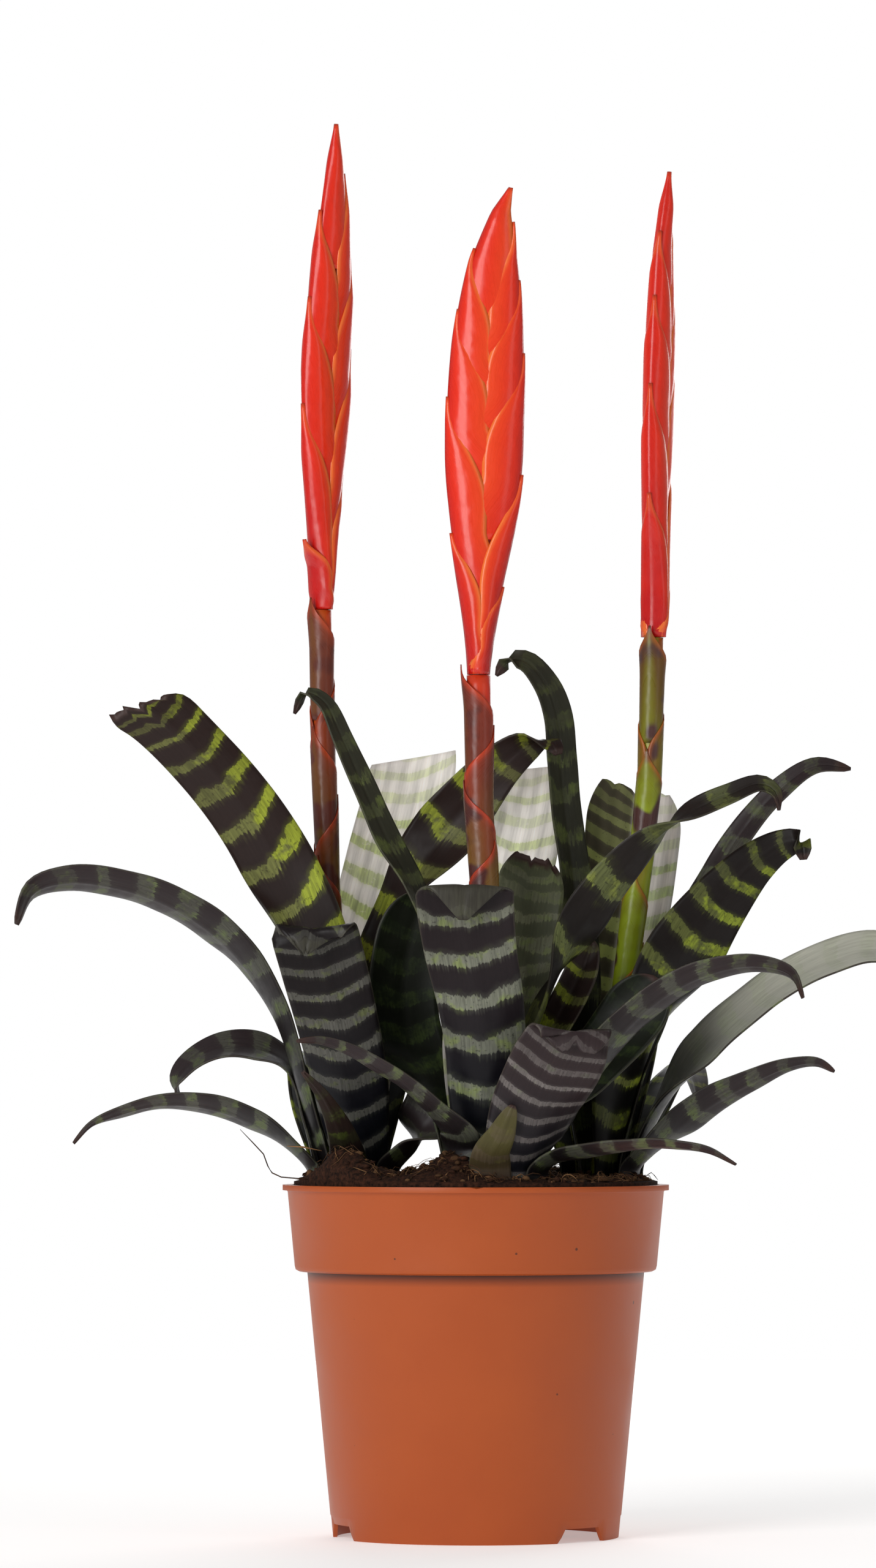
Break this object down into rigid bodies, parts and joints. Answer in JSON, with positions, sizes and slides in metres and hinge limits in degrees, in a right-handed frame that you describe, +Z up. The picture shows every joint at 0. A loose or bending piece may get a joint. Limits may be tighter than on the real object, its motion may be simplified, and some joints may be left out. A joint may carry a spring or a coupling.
{
  "type": "flaming sword bromeliad in a nursery pot",
  "caption": "Potted bromeliads with dark cross-banded strap leaves in funnel rosettes and tall flat red flower swords, standing in a round plastic nursery pot.",
  "frame": {"origin": "on the ground under the middle of the plant's box, within a few millimetres of the middle of the pot's foot", "axes": "+Z up, +X to the right and -Y to the front, as the three flower swords stand side by side"},
  "size_m": [0.3061, 0.1838, 0.477],
  "materials": {
    "pot_plastic": "injection-moulded terracotta-coloured polypropylene, semi-matte",
    "peat": null,
    "banded_leaf": null,
    "scape_sheath": null,
    "sword_bract": null
  },
  "bodies": {
    "root": {"pot": "pot_plastic", "soil": "peat", "left_leaf_pale_back": "banded_leaf", "left_leaf_inner_right": "banded_leaf", "left_leaf_tall_left": "banded_leaf", "left_leaf_back_right": "banded_leaf", "left_leaf_back_left": "banded_leaf", "left_leaf_front_notched": "banded_leaf", "left_leaf_low_right": "banded_leaf", "left_leaf_long_arching": "banded_leaf", "left_leaf_back_low": "banded_leaf", "left_leaf_curled_left": "banded_leaf", "left_leaf_lowest_left": "banded_leaf", "left_leaf_short_front": "banded_leaf", "middle_leaf_pale_back": "banded_leaf", "middle_leaf_back": "banded_leaf", "middle_leaf_inner_back_right": "banded_leaf", "middle_leaf_hooked_left": "banded_leaf", "middle_leaf_crumpled_right": "banded_leaf", "middle_leaf_long_right": "banded_leaf", "middle_leaf_front_folded": "banded_leaf", "middle_leaf_shaded_left": "banded_leaf", "middle_leaf_wide_right": "banded_leaf", "middle_leaf_arching_right": "banded_leaf", "middle_leaf_thin_front_left": "banded_leaf", "middle_leaf_front_right_split": "banded_leaf", "middle_leaf_short_rim": "banded_leaf", "middle_leaf_low_front_right": "banded_leaf", "right_leaf_pale_back": "banded_leaf", "right_leaf_hooked_left": "banded_leaf", "right_leaf_tall_back_right": "banded_leaf", "right_leaf_big_right": "banded_leaf", "right_leaf_back_right": "banded_leaf", "right_leaf_back_left": "banded_leaf", "right_leaf_channelled_right": "banded_leaf", "right_leaf_low_right": "banded_leaf", "right_leaf_back_low": "banded_leaf", "left_scape": "scape_sheath", "left_sword": "sword_bract", "middle_scape": "scape_sheath", "middle_sword": "sword_bract", "right_scape": "scape_sheath", "right_sword": "sword_bract"}
  },
  "joints": []
}
